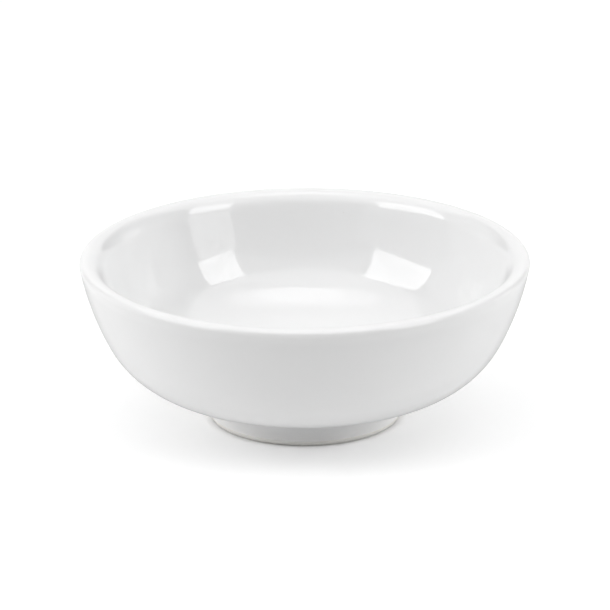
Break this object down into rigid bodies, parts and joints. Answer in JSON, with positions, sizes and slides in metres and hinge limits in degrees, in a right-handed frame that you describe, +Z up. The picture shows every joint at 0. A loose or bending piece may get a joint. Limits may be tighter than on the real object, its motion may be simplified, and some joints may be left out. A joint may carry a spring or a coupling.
{
  "type": "soy sauce dish",
  "caption": "Small round white porcelain dish with a full belly, a rounded lip, a concave well and a short foot ring with a dry rim, for soy sauce or dips.",
  "frame": {"origin": "centre of the foot ring's bearing face, on the dish's axis", "axes": "+Z up along the dish's axis of revolution, towards the open mouth; +X and +Y are alike"},
  "size_m": [0.095, 0.095, 0.0352],
  "materials": {
    "biscuit_porcelain": "matt unglazed fired clay",
    "clear_glaze": "high gloss clear glaze over white clay"
  },
  "bodies": {
    "root": {"porcelain_body": "biscuit_porcelain", "glaze_coat": "clear_glaze", "foot_recess_glaze": "clear_glaze"}
  },
  "joints": []
}
